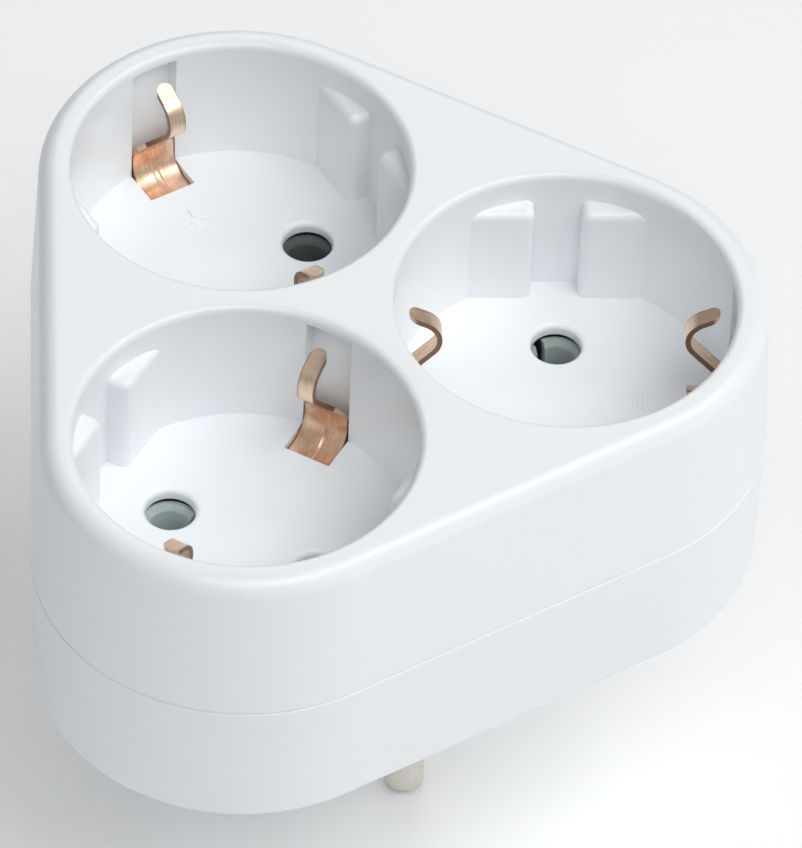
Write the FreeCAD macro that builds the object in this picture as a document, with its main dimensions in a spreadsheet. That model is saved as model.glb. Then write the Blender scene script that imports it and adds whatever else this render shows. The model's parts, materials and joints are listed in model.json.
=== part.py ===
import FreeCAD, Part
import math
import os

import Sketcher

# Three-way socket adapter with a built-in round two-pin plug, in millimetres.
# The origin is the centre of the plug's engagement face. +Z points to the socket face,
# so the plug pins run down -Z. Socket 1 lies on +X, the others 120 degrees on.

SOCKETS = 3

# Driving sizes: alias, value, what it measures.
SIZES = (
    ("wellRadius", 19.5, "inside of a socket well"),
    ("wellGap", 3.26, "least wall between two wells"),
    ("wellDepth", 17.5, "top face down to the well floor"),
    ("wellFloor", 1.5, "thickness of a well floor"),
    ("wellWall", 1.8, "least wall left round a well"),
    ("seamWall", 4.5, "body beyond the well wall at the seam"),
    ("topDraft", 0.9, "how far the body draws in from the seam to the top face"),
    ("baseDraft", 0.5, "how far it draws in from the seam to the base"),
    ("rearHeight", 18.0, "base up to the seam"),
    ("floorRise", 1.3, "seam up to the underside of the well floors"),
    ("topPlate", 2.5, "top face thickness over the side hollows"),
    ("topRound", 2.3, "rounding of the outer top edge"),
    ("rimRound", 0.9, "rounding of a well's rim"),
    ("baseRound", 0.8, "rounding of the outer base edge"),
    ("seamGroove", 0.2, "bevel each side of the seam line"),
    ("skirtWall", 1.9, "outer wall thickness"),
    ("rearFloor", 2.0, "floor thickness of the rear housing"),
    ("lipDepth", 2.0, "how far the locating lip enters the rear housing"),
    ("lipWall", 1.0, "thickness of the locating lip"),
    ("lipGap", 0.15, "clearance round the locating lip"),
    ("hollowHalf", 12.0, "half width of a side hollow at the outer wall"),
    ("hollowNeck", 2.3, "half width of a side hollow between two wells"),
    ("ribStand", 2.8, "how far a guide rib's flat face stands in from the well wall"),
    ("ribDrop", 3.8, "top of a guide rib below the top face"),
    ("ribChannel", 5.5, "channel that parts a pair of guide ribs"),
    ("ribRoot", 0.5, "how far a rib is keyed into the well wall"),
    ("ribRound", 1.05, "rounding of a guide rib's edges"),
    ("pinSpacing", 19.0, "distance between the two pin holes of a socket"),
    ("pinHoleRadius", 2.9, "pin hole in a well floor"),
    ("pinHoleLead", 0.8, "rounded lead-in of a pin hole"),
    ("grooveWidth", 5.9, "groove and slot of an earth clip"),
    ("grooveDepth", 1.6, "groove of an earth clip, into the well wall"),
    ("rimBand", 1.3, "solid rim left above that groove"),
    ("slotReach", 4.8, "floor slot of an earth clip, in from the well wall"),
    ("bossHeight", 20.5, "plug engagement face up to the base"),
    ("bossRadius", 18.3, "round plug body"),
    ("bossRound", 1.0, "rounding of the plug body's front edge"),
    ("bossFlat", 16.2, "flat on the plug's side from the plug axis"),
    ("bossKey", 4.8, "guide key left standing on a flat"),
    ("bossEnd", 3.0, "end wall of the plug body"),
    ("bossHollow", 15.8, "inside of the plug body"),
    ("bossFlatWall", 2.0, "wall behind a flat of the plug body"),
    ("bossLip", 2.0, "solid lip in front of an earth contact's recess"),
    ("plugTurn", -30.0, "direction of the neutral plug pin, degrees from +X"),
    ("plugPinRadius", 2.4, "plug pin"),
    ("plugPinLength", 19.0, "plug pin beyond the engagement face"),
    ("plugPinTip", 0.9, "rounding of a plug pin's end"),
    ("plugPinRoot", 0.3, "bare neck at the root of a plug pin"),
    ("pinNeck", 2.05, "plug pin inside the housing"),
    ("pinRecess", 0.6, "depth of the recess round a plug pin in the engagement face"),
    ("pinCollar", 3.4, "collar that stops a plug pin"),
    ("pinCollarHeight", 1.6, "height of that collar"),
    ("pinClearance", 0.05, "gap round a plug pin in its hole"),
    ("pinPost", 4.2, "post round a plug pin inside the plug body"),
    ("pinPostTop", 8.0, "top of that post above the engagement face"),
    ("tailRadius", 1.5, "riveted tail of a plug pin"),
    ("tailHead", 2.6, "spread head of that tail"),
    ("tailHeadHeight", 0.9, "height of that head"),
    ("barThickness", 0.8, "brass strip of the busbars"),
    ("barWidth", 5.0, "arm of a contact busbar"),
    ("barHub", 4.5, "hub of a contact busbar"),
    ("tailPad", 3.4, "busbar pad round a pin tail"),
    ("neutralLevel", 5.0, "underside of the neutral busbar above the base"),
    ("liveLevel", 10.0, "underside of the live busbar above the base"),
    ("contactPost", 5.2, "post that carries a busbar's end pad"),
    ("contactPostBore", 3.8, "bore of that post"),
    ("pinPit", 1.2, "floor left under a contact post's bore"),
    ("sleeveBore", 2.45, "inside of a contact sleeve"),
    ("sleeveWall", 0.5, "wall of a contact sleeve"),
    ("sleeveFlange", 4.2, "flange of a contact sleeve"),
    ("sleeveFlangeHeight", 0.6, "height of that flange"),
    ("sleeveFlare", 3.5, "spread foot of a contact sleeve under its busbar"),
    ("sleeveFlareHeight", 0.5, "height of that foot"),
    ("sleeveSpread", 0.4, "how far a contact sleeve widens at its foot and its mouth"),
    ("sleeveMouth", 1.0, "height of that mouth"),
    ("sleeveSlit", 1.2, "slit of a contact sleeve"),
    ("sleeveTurn", 130.0, "where the slit faces, degrees from the socket's outward line"),
    ("sleeveTopGap", 0.9, "contact sleeve below the well floor"),
    ("fitGap", 0.05, "small clearance between stacked or riveted metal parts"),
    ("clipThickness", 0.6, "earth clip strip"),
    ("clipWidth", 5.6, "broad part of an earth clip"),
    ("clipFinger", 2.1, "spring finger of an earth clip"),
    ("clipShoulder", 4.2, "top of the broad part above the well floor"),
    ("clipBend", 3.0, "bend from the strap up into the groove"),
    ("clipSetBack", 0.1, "middle of the upright strip behind the well wall"),
    ("clipKnee", 3.8, "knee of the finger above the well floor"),
    ("clipKneeBend", 3.0, "bend radius of that knee"),
    ("clipBulge", 7.05, "corner of the finger's contact bend, in from the well wall"),
    ("clipBulgeDrop", 5.2, "that corner below the top face"),
    ("clipBulgeBend", 2.9, "bend radius of the contact bend"),
    ("clipTip", 1.8, "end of the finger, in from the well wall"),
    ("clipTipDrop", 2.6, "middle of the finger's end below the top face"),
    ("clipBead", 0.5, "half width of the bead pressed along the strap"),
    ("clipBeadRise", 0.2, "how far that bead stands up"),
    ("clipBeadTop", 3.4, "upper end of that bead above the well floor"),
    ("earthArm", 6.0, "arm of the earth busbar"),
    ("earthHub", 6.0, "hub of the earth busbar"),
    ("earthPad", 3.6, "end pad of an earth busbar arm"),
    ("sideContactWidth", 5.0, "earth contact on the plug's side"),
    ("sideContactFace", 17.9, "outer face of that contact from the plug axis"),
    ("sideContactBend", 1.4, "bend into its inner tab"),
    ("sideContactTab", 11.0, "end of that tab from the plug axis"),
    ("sideRivet", 13.8, "rivet of that tab from the plug axis"),
    ("rivetRadius", 1.25, "shank of an earth rivet"),
    ("rivetHead", 2.2, "head of an earth rivet"),
    ("rivetHeadHeight", 0.8, "height of that head"),
    ("screwInset", 6.2, "housing screw from the inside of the top's outer wall"),
    ("screwRadius", 1.4, "housing screw"),
    ("screwHead", 2.8, "head of a housing screw"),
    ("screwHeadHeight", 2.0, "height of that head"),
    ("screwSeat", 8.0, "seat of the screw head above the base"),
    ("screwBite", 6.5, "length of screw in the front housing"),
    ("screwDrive", 0.8, "width of the cross recess in the head"),
    ("screwDriveDepth", 1.0, "depth of that recess"),
    ("screwTip", 0.9, "tapered end of a screw"),
    ("screwGap", 0.3, "clearance of a screw head in its counterbore"),
    ("pillarFront", 3.5, "screw pillar of the front housing"),
    ("pillarRear", 4.0, "screw pillar of the rear housing"),
    ("pillarJoint", 12.0, "where the two pillars meet above the base"),
)

doc = FreeCAD.newDocument("SocketAdapter")
sheet = doc.addObject("Spreadsheet::Sheet", "sizes")
for row, (alias, number, note) in enumerate(SIZES, 1):
    sheet.set(f"A{row}", note)
    sheet.set(f"B{row}", str(number))
    sheet.setAlias(f"B{row}", alias)
doc.recompute()

# Levels above the engagement face, as formulas on the sheet.
BASE = "sizes.bossHeight"
SEAM = f"({BASE} + sizes.rearHeight)"
FLOOR_UNDER = f"({SEAM} + sizes.floorRise)"
WELL_FLOOR = f"({FLOOR_UNDER} + sizes.wellFloor)"
TOP = f"({WELL_FLOOR} + sizes.wellDepth)"
REAR_FLOOR = f"({BASE} + sizes.rearFloor)"
NEUTRAL = f"({BASE} + sizes.neutralLevel)"
LIVE = f"({BASE} + sizes.liveLevel)"
PILLAR_JOINT = f"({BASE} + sizes.pillarJoint)"
SCREW_SEAT = f"({BASE} + sizes.screwSeat)"
EARTH_BAR = f"({FLOOR_UNDER} - sizes.barThickness)"

# Heights above a well floor.
RIB_HEIGHT = "(sizes.wellDepth - sizes.ribDrop)"
CLIP_BULGE_HEIGHT = "(sizes.wellDepth - sizes.clipBulgeDrop)"
CLIP_TIP_HEIGHT = "(sizes.wellDepth - sizes.clipTipDrop)"

# Places seen from above, also as formulas. A socket centre lies CENTRE from the middle, and
# the radii are those of the body's corners, each about a socket centre.
CENTRE = "((2 * sizes.wellRadius + sizes.wellGap) / sqrt(3))"
HALF_PINS = "sizes.pinSpacing / 2"
PIN_CIRCLE = f"sqrt({CENTRE}^2 + ({HALF_PINS})^2)"
PIN_TURN = f"atan({HALF_PINS} / {CENTRE})"
SEAM_RADIUS = "(sizes.wellRadius + sizes.seamWall)"
TOP_RADIUS = f"({SEAM_RADIUS} - sizes.topDraft)"
BASE_RADIUS = f"({SEAM_RADIUS} - sizes.baseDraft)"
SKIRT_INSIDE = f"({BASE_RADIUS} - sizes.skirtWall)"
LIP_OUTSIDE = f"({SKIRT_INSIDE} - sizes.lipGap)"
LIP_INSIDE = f"({LIP_OUTSIDE} - sizes.lipWall)"
SIDE_INSIDE = f"({CENTRE} * cos(60 deg) + {TOP_RADIUS} - sizes.skirtWall)"
SCREW_CIRCLE = f"({SIDE_INSIDE} - sizes.screwInset)"
RIB_FACE = "(sizes.wellRadius - sizes.ribStand)"


# Volume of each body after its last feature.
volumes = {}


def value(formula):
    """The number that a formula on the sheet gives."""
    return float(sheet.evalExpression(f"({formula}) * 1"))


def degrees(formula):
    """The angle that a formula on the sheet gives."""
    answer = sheet.evalExpression(formula)
    return float(getattr(answer, "Value", answer))


def newBody(label):
    body = doc.addObject("PartDesign::Body", label)
    body.Label = label
    return body


def originPart(body, role):
    return next(part for part in body.Origin.OriginFeatures if part.Role == role)


def newSketch(body, plane="XY_Plane", offset="0", turn="0"):
    """A sketch on a plane of the body, moved along its normal and turned about it."""
    sketch = body.newObject("Sketcher::SketchObject", "sketch")
    sketch.AttachmentSupport = (originPart(body, plane), [""])
    sketch.MapMode = "FlatFace"
    sketch.setExpression("AttachmentOffset.Base.z", offset)
    sketch.setExpression("AttachmentOffset.Rotation.Angle", turn)
    return sketch


def bind(sketch, kind, *target, formula):
    """Adds one driving size to a sketch and ties it to the sheet."""
    index = sketch.addConstraint(Sketcher.Constraint(kind, *target, value(formula)))
    sketch.setExpression(f"Constraints[{index}]", formula)


def placePoint(sketch, geometry, end, x, y):
    bind(sketch, "DistanceX", geometry, end, formula=x)
    bind(sketch, "DistanceY", geometry, end, formula=y)


def addCircle(sketch, x, y, radius):
    centre = FreeCAD.Vector(value(x), value(y), 0)
    circle = sketch.addGeometry(Part.Circle(centre, FreeCAD.Vector(0, 0, 1), value(radius)))
    placePoint(sketch, circle, 3, x, y)
    bind(sketch, "Radius", circle, formula=radius)


def arcThrough(start, end, radius, way):
    """The smaller arc from start to end, to the left for way 1 and to the right for -1."""
    chord = end - start
    across = FreeCAD.Vector(-chord.y, chord.x, 0).normalize()
    rise = math.sqrt(max(radius**2 - (chord.Length / 2) ** 2, 0))
    centre = (start + end) / 2 + across * rise * way
    first, last = (start, end) if way > 0 else (end, start)
    angles = [math.atan2(p.y - centre.y, p.x - centre.x) for p in (first, last)]
    circle = Part.Circle(centre, FreeCAD.Vector(0, 0, 1), radius)
    return Part.ArcOfCircle(circle, *angles)


def addLoop(sketch, corners):
    """A closed outline. A corner is x, y, then for an arc to the next one its radius and way."""
    points = [FreeCAD.Vector(value(corner[0]), value(corner[1]), 0) for corner in corners]
    sides = []
    for index, corner in enumerate(corners):
        start, end = points[index], points[(index + 1) % len(points)]
        if len(corner) == 2:
            sides.append((sketch.addGeometry(Part.LineSegment(start, end)), 1, 2))
            continue
        radius, way = corner[2:]
        arc = sketch.addGeometry(arcThrough(start, end, value(radius), way))
        sides.append((arc, 1, 2) if way > 0 else (arc, 2, 1))
    for index, (side, first, last) in enumerate(sides):
        following, start, _ = sides[(index + 1) % len(sides)]
        sketch.addConstraint(Sketcher.Constraint("Coincident", side, last, following, start))
        placePoint(sketch, side, first, *corners[index][:2])
    for (side, _, _), corner in zip(sides, corners):
        if len(corner) > 2:
            bind(sketch, "Radius", side, formula=corner[2])


def addBox(sketch, left, right, low, high):
    addLoop(sketch, [(left, low), (right, low), (right, high), (left, high)])


def addPath(sketch, corners):
    """An open line with round bends. An inner corner is x, y and its bend radius."""
    points = [FreeCAD.Vector(value(corner[0]), value(corner[1]), 0) for corner in corners]
    starts, ends, bends = [points[0]], [], []
    for before, corner, after, size in zip(points, points[1:], points[2:], corners[1:]):
        back = (before - corner).normalize()
        on = (after - corner).normalize()
        radius = value(size[2])
        reach = radius / math.tan(back.getAngle(on) / 2)
        ends.append(corner + back * reach)
        starts.append(corner + on * reach)
        way = 1 if back.cross(on).z < 0 else -1
        bends.append((arcThrough(ends[-1], starts[-1], radius, way), way))
    ends.append(points[-1])
    runs = [sketch.addGeometry(Part.LineSegment(a, b)) for a, b in zip(starts, ends)]
    placePoint(sketch, runs[0], 1, *corners[0])
    for index, (arc, way) in enumerate(bends):
        bend = sketch.addGeometry(arc)
        first, last = (1, 2) if way > 0 else (2, 1)
        before, after = runs[index], runs[index + 1]
        sketch.addConstraint(Sketcher.Constraint("Tangent", before, 2, bend, first))
        sketch.addConstraint(Sketcher.Constraint("Tangent", bend, last, after, 1))
        corner = sketch.addGeometry(Part.Point(points[index + 1]), True)
        placePoint(sketch, corner, 1, *corners[index + 1][:2])
        for run in (before, after):
            sketch.addConstraint(Sketcher.Constraint("PointOnObject", corner, 1, run))
        bind(sketch, "Radius", bend, formula=corners[index + 1][2])
    placePoint(sketch, runs[-1], 2, *corners[-1])


def finishFeature(body, feature, grows):
    """Works the feature out and makes sure that it added or removed material."""
    doc.recompute()
    change = feature.Shape.Volume - volumes.get(body.Name, 0)
    if (change > 0) != grows or change == 0 or not feature.isValid():
        raise RuntimeError(f"{body.Label}: {feature.Label} changed the volume by {change}")
    volumes[body.Name] = feature.Shape.Volume
    return feature


def addPad(body, sketch, length, symmetric=False):
    pad = body.newObject("PartDesign::Pad", "pad")
    pad.Profile = sketch
    pad.SideType = "Symmetric" if symmetric else "One side"
    pad.setExpression("Length", length)
    return finishFeature(body, pad, True)


def cutPocket(body, sketch, length, way="down"):
    """A pocket from the sketch, down or up its normal, or both ways."""
    pocket = body.newObject("PartDesign::Pocket", "pocket")
    pocket.Profile = sketch
    pocket.SideType = "Symmetric" if way == "both" else "One side"
    pocket.Reversed = way == "up"
    pocket.setExpression("Length", length)
    return finishFeature(body, pocket, False)


def repeatRound(body, feature, grows):
    """The feature once for each socket, round the middle of the body."""
    pattern = body.newObject("PartDesign::PolarPattern", "pattern")
    pattern.Originals = [feature]
    pattern.Axis = (originPart(body, "Z_Axis"), [""])
    pattern.Angle = 360
    pattern.Occurrences = SOCKETS
    body.Tip = pattern
    return finishFeature(body, pattern, grows)


def revolve(body, corners):
    """A turned piece. Corners are radius and height in the XZ plane."""
    sketch = newSketch(body, "XZ_Plane")
    addLoop(sketch, corners)
    turned = body.newObject("PartDesign::Revolution", "revolution")
    turned.Profile = sketch
    turned.ReferenceAxis = (originPart(body, "Z_Axis"), [""])
    turned.Angle = 360
    return finishFeature(body, turned, True)


def edgesWhere(feature, wanted):
    return [f"Edge{n}" for n, edge in enumerate(feature.Shape.Edges, 1) if wanted(edge)]


def dressEdges(body, feature, kind, radius, wanted):
    """Rounds or bevels the edges that the test picks."""
    dressed = body.newObject(f"PartDesign::{kind}", kind.lower())
    dressed.Base = (feature, edgesWhere(feature, wanted))
    dressed.setExpression("Radius" if kind == "Fillet" else "Size", radius)
    doc.recompute()
    if not dressed.isValid() or dressed.Shape.isNull():
        raise RuntimeError(f"{body.Label}: {kind} failed")
    volumes[body.Name] = dressed.Shape.Volume
    return dressed


def atLevel(edge, level, tolerance=1e-4):
    box = edge.BoundBox
    return abs(box.ZMin - level) < tolerance and abs(box.ZMax - level) < tolerance


def isCircle(edge, radius):
    """Whether the edge is an arc of the given radius."""
    if edge.Degenerated or not isinstance(edge.Curve, Part.Circle):
        return False
    return abs(edge.Curve.Radius - value(radius)) < 1e-4


def addBodyOutline(sketch, radius):
    """The rounded triangle of the body: one corner arc about each socket centre."""
    corners = []
    for socket in range(SOCKETS):
        middle = 360 * socket / SOCKETS
        for side in (-60, 60):
            turn = middle + side
            x = f"{CENTRE} * cos({middle} deg) + {radius} * cos({turn} deg)"
            y = f"{CENTRE} * sin({middle} deg) + {radius} * sin({turn} deg)"
            corners.append((x, y, radius, 1) if side < 0 else (x, y))
    addLoop(sketch, corners)


def draftBlock(body, level, lowRadius, highRadius, height):
    """The drafted block of one housing, from its lower outline to its upper one."""
    outline = newSketch(body, offset=level)
    addBodyOutline(outline, lowRadius)
    block = body.newObject("PartDesign::Pad", "pad")
    block.Profile = outline
    block.setExpression("Length", height)
    block.setExpression("TaperAngle", f"atan(({highRadius} - {lowRadius}) / {height})")
    return finishFeature(body, block, True)


def addRibLoops(sketch):
    """The four guide ribs of socket 1, a split pair at each end of the pin line."""
    back = "(sizes.wellRadius + sizes.ribRoot)"
    half = "(sizes.ribChannel / 2)"
    reach = f"sqrt({back}^2 - {RIB_FACE}^2)"
    depth = f"sqrt({back}^2 - {half}^2)"
    for across in (1, -1):
        for along in (1, -1):
            face = f"{along} * {RIB_FACE}"
            inner = (f"{CENTRE} + {across} * {half}", face)
            outer = (f"{CENTRE} + {across} * {reach}", face, back, across * along)
            wall = (f"{CENTRE} + {across} * {half}", f"{along} * {depth}")
            addLoop(sketch, [inner, outer, wall])


def isRibEdge(edge):
    """The free edges of the guide ribs: over the flat face, and down the channel."""
    floor, top = value(WELL_FLOOR), value(f"{WELL_FLOOR} + {RIB_HEIGHT}")
    face, half = value(RIB_FACE), value("sizes.ribChannel / 2")
    middle = edge.CenterOfMass
    if edge.Degenerated or not isinstance(edge.Curve, Part.Line) or not floor < middle.z < top + 1e-3:
        return False
    for socket in range(SOCKETS):
        turn = FreeCAD.Rotation(FreeCAD.Vector(0, 0, 1), -360 * socket / SOCKETS)
        local = turn.multVec(middle)
        across, along = abs(local.x - value(CENTRE)), abs(local.y)
        upright = edge.BoundBox.ZLength > 1 and abs(across - half) < 1e-3 and abs(along - face) < 1e-3
        over = atLevel(edge, top) and (abs(along - face) < 1e-3 or abs(across - half) < 1e-3)
        if (upright or over) and across < value("sizes.wellRadius"):
            return True
    return False


def makeFrontHousing():
    """The cover: top face, three wells with ribs, clip grooves, slots and pin holes."""
    body = newBody("front_housing")
    block = draftBlock(body, SEAM, SEAM_RADIUS, TOP_RADIUS, f"({TOP} - {SEAM})")
    block = dressEdges(body, block, "Chamfer", "sizes.seamGroove", lambda e: atLevel(e, value(SEAM)))
    dressEdges(body, block, "Fillet", "sizes.topRound", lambda e: atLevel(e, value(TOP)))

    well = newSketch(body, offset=TOP)
    addCircle(well, CENTRE, "0", "sizes.wellRadius")
    wells = repeatRound(body, cutPocket(body, well, "sizes.wellDepth"), False)
    isRim = lambda edge: isCircle(edge, "sizes.wellRadius") and atLevel(edge, value(TOP))
    dressEdges(body, wells, "Fillet", "sizes.rimRound", isRim)

    underside = newSketch(body, offset=SEAM)
    addBodyOutline(underside, LIP_INSIDE)
    cutPocket(body, underside, f"{FLOOR_UNDER} - {SEAM}", "up")
    makeSideHollows(body)

    pillar = newSketch(body, offset=PILLAR_JOINT)
    addCircle(pillar, f"-{SCREW_CIRCLE}", "0", "sizes.pillarFront")
    repeatRound(body, addPad(body, pillar, f"{TOP} - sizes.topPlate - {PILLAR_JOINT}"), True)
    pilot = newSketch(body, offset=PILLAR_JOINT)
    addCircle(pilot, f"-{SCREW_CIRCLE}", "0", "sizes.screwRadius + sizes.fitGap")
    repeatRound(body, cutPocket(body, pilot, "sizes.screwBite + 1", "up"), False)

    lip = newSketch(body, offset=f"{SEAM} - sizes.lipDepth")
    addBodyOutline(lip, LIP_OUTSIDE)
    addBodyOutline(lip, LIP_INSIDE)
    addPad(body, lip, "sizes.lipDepth")

    rib = newSketch(body, offset=WELL_FLOOR)
    addRibLoops(rib)
    ribs = repeatRound(body, addPad(body, rib, RIB_HEIGHT), True)
    dressEdges(body, ribs, "Fillet", "sizes.ribRound", isRibEdge)

    cutClipRoom(body)
    hole = newSketch(body, offset=WELL_FLOOR)
    for side in (1, -1):
        addCircle(hole, CENTRE, f"{side} * {HALF_PINS}", "sizes.pinHoleRadius")
    holes = repeatRound(body, cutPocket(body, hole, "sizes.wellFloor"), False)
    isLead = lambda edge: isCircle(edge, "sizes.pinHoleRadius") and atLevel(edge, value(WELL_FLOOR))
    dressEdges(body, holes, "Fillet", "sizes.pinHoleLead", isLead)
    return body


def makeSideHollows(body):
    """The hollow behind each straight side, between two wells and the outer wall."""
    wellOutside = "(sizes.wellRadius + sizes.wellWall)"
    middle = f"{CENTRE} * cos(60 deg)"
    height = f"{CENTRE} * sin(60 deg)"
    neck, half = "sizes.hollowNeck", "sizes.hollowHalf"
    atNeck = f"-({middle} + sqrt({wellOutside}^2 - ({height} - {neck})^2))"
    atHalf = f"-({middle} + sqrt({wellOutside}^2 - ({height} - {half})^2))"
    atWall = f"-{SIDE_INSIDE}"
    hollow = newSketch(body, offset=SEAM)
    addLoop(
        hollow,
        [
            (atNeck, neck, wellOutside, -1),
            (atHalf, half),
            (atWall, half),
            (atWall, f"-{half}"),
            (atHalf, f"-{half}", wellOutside, -1),
            (atNeck, f"-{neck}"),
        ],
    )
    repeatRound(body, cutPocket(body, hollow, f"{TOP} - sizes.topPlate - {SEAM}", "up"), False)


def cutClipRoom(body):
    """Grooves up the well wall, slots through the floor and a channel under it."""
    half = "sizes.grooveWidth / 2"
    back = "(sizes.wellRadius + sizes.grooveDepth)"
    slotEdge = "(sizes.wellRadius - sizes.slotReach)"
    for level, start, depth in (
        (f"{TOP} - sizes.rimBand", "(sizes.wellRadius - 1)", "sizes.wellDepth - sizes.rimBand"),
        (WELL_FLOOR, slotEdge, "sizes.wellFloor"),
    ):
        room = newSketch(body, offset=level)
        addBox(room, f"{CENTRE} + {start}", f"{CENTRE} + {back}", f"-{half}", half)
        addBox(room, f"{CENTRE} - {back}", f"{CENTRE} - {start}", f"-{half}", half)
        repeatRound(body, cutPocket(body, room, depth), False)
    channel = newSketch(body, offset=FLOOR_UNDER)
    addBox(channel, f"{CENTRE} - {slotEdge}", f"{CENTRE} + {slotEdge}", f"-{half}", half)
    repeatRound(body, cutPocket(body, channel, "sizes.clipThickness", "up"), False)


def makeRearHousing():
    """The lower shell with the round plug body, its posts and screw pillars."""
    body = newBody("rear_housing")
    block = draftBlock(body, BASE, BASE_RADIUS, SEAM_RADIUS, "sizes.rearHeight")
    block = dressEdges(body, block, "Chamfer", "sizes.seamGroove", lambda e: atLevel(e, value(SEAM)))
    dressEdges(body, block, "Fillet", "sizes.baseRound", lambda e: atLevel(e, value(BASE)))
    inside = newSketch(body, offset=SEAM)
    addBodyOutline(inside, SKIRT_INSIDE)
    cutPocket(body, inside, "sizes.rearHeight - sizes.rearFloor")

    makePlugBody(body)
    for side, level in ((-1, "sizes.neutralLevel"), (1, "sizes.liveLevel")):
        post = newSketch(body, offset=REAR_FLOOR)
        addCircle(post, CENTRE, f"{side} * {HALF_PINS}", "sizes.contactPost")
        repeatRound(body, addPad(body, post, f"{level} - sizes.rearFloor"), True)
        bore = newSketch(body, offset=f"{BASE} + {level}")
        addCircle(bore, CENTRE, f"{side} * {HALF_PINS}", "sizes.contactPostBore")
        repeatRound(body, cutPocket(body, bore, f"{level} - sizes.pinPit"), False)

    pillar = newSketch(body, offset=REAR_FLOOR)
    addCircle(pillar, f"-{SCREW_CIRCLE}", "0", "sizes.pillarRear")
    repeatRound(body, addPad(body, pillar, f"{PILLAR_JOINT} - {REAR_FLOOR}"), True)
    sink = newSketch(body, offset=BASE)
    addCircle(sink, f"-{SCREW_CIRCLE}", "0", "sizes.screwHead + sizes.screwGap")
    repeatRound(body, cutPocket(body, sink, "sizes.screwSeat", "up"), False)
    through = newSketch(body, offset=PILLAR_JOINT)
    addCircle(through, f"-{SCREW_CIRCLE}", "0", "sizes.screwRadius + sizes.screwGap")
    repeatRound(body, cutPocket(body, through, "sizes.pillarJoint - sizes.screwSeat"), False)
    return body


def makePlugBody(body):
    """The round plug body under the base, with flats, keys, recesses and pin posts."""
    turn = "sizes.plugTurn"
    boss = newSketch(body)
    addCircle(boss, "0", "0", "sizes.bossRadius")
    shape = addPad(body, boss, "sizes.bossHeight")
    isFront = lambda e: atLevel(e, 0)
    dressEdges(body, shape, "Fillet", "sizes.bossRound", isFront)

    beyond = "(sizes.bossRadius + 1)"
    flat, key = "sizes.bossFlat", "sizes.bossKey / 2"
    side = f"sqrt({beyond}^2 - {flat}^2)"
    flats = newSketch(body, turn=turn)
    for left, right in ((flat, beyond), (f"-{beyond}", f"-{flat}")):
        addBox(flats, left, right, key, side)
        addBox(flats, left, right, f"-({side})", f"-{key}")
    cutPocket(body, flats, "sizes.bossHeight", "up")

    hollow = newSketch(body, offset="sizes.bossEnd", turn=turn)
    chord = f"({flat} - sizes.bossFlatWall)"
    reach = f"sqrt(sizes.bossHollow^2 - {chord}^2)"
    addLoop(
        hollow,
        [
            (chord, f"-{reach}"),
            (chord, reach, "sizes.bossHollow", 1),
            (f"-{chord}", reach),
            (f"-{chord}", f"-{reach}", "sizes.bossHollow", 1),
        ],
    )
    cutPocket(body, hollow, f"{REAR_FLOOR} - sizes.bossEnd", "up")

    posts = newSketch(body, offset="sizes.bossEnd", turn=turn)
    holes = newSketch(body, turn=turn)
    recesses = newSketch(body, turn=turn)
    for way in (1, -1):
        place = f"{way} * {HALF_PINS}"
        addCircle(posts, place, "0", "sizes.pinPost")
        addCircle(holes, place, "0", "sizes.pinNeck + sizes.pinClearance")
        addCircle(recesses, place, "0", "sizes.plugPinRadius + sizes.pinClearance")
    addPad(body, posts, "sizes.pinPostTop - sizes.bossEnd")
    cutPocket(body, holes, "sizes.pinPostTop", "up")
    cutPocket(body, recesses, "sizes.pinRecess", "up")

    half = "(sizes.sideContactWidth / 2 + sizes.fitGap)"
    face = "sizes.sideContactFace"
    behind = f"({face} - sizes.barThickness - sizes.fitGap)"
    recess = newSketch(body, offset="sizes.bossLip", turn=turn)
    slot = newSketch(body, offset=BASE, turn=turn)
    for room, outer in ((recess, beyond), (slot, f"({face} + sizes.fitGap)")):
        addBox(room, f"-{half}", half, behind, outer)
        addBox(room, f"-{half}", half, f"-{outer}", f"-{behind}")
    cutPocket(body, recess, f"{BASE} - sizes.bossLip", "up")
    cutPocket(body, slot, "sizes.rearFloor", "up")


def makePlugPin(label, way, level):
    """A turned plug pin: round end, neck, collar, shank and riveted tail."""
    body = newBody(label)
    pin, neck, tip = "sizes.plugPinRadius", "sizes.pinNeck", "sizes.plugPinTip"
    end, post = "-sizes.plugPinLength", "sizes.pinPostTop"
    above = f"({post} + sizes.pinCollarHeight)"
    through = f"({level} + sizes.barThickness)"
    revolve(
        body,
        [
            ("0", end),
            (f"{pin} - {tip}", end, tip, 1),
            (pin, f"{end} + {tip}"),
            (pin, "-sizes.plugPinRoot"),
            (neck, "-sizes.plugPinRoot"),
            (neck, post),
            ("sizes.pinCollar", post),
            ("sizes.pinCollar", above),
            (neck, above),
            (neck, level),
            ("sizes.tailRadius", level),
            ("sizes.tailRadius", through),
            ("sizes.tailHead", through),
            ("sizes.tailRadius", f"{through} + sizes.tailHeadHeight"),
            ("0", f"{through} + sizes.tailHeadHeight"),
        ],
    )
    turn = math.radians(degrees("sizes.plugTurn"))
    reach = way * value(HALF_PINS)
    body.Placement.Base = FreeCAD.Vector(reach * math.cos(turn), reach * math.sin(turn), 0)
    return body


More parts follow.
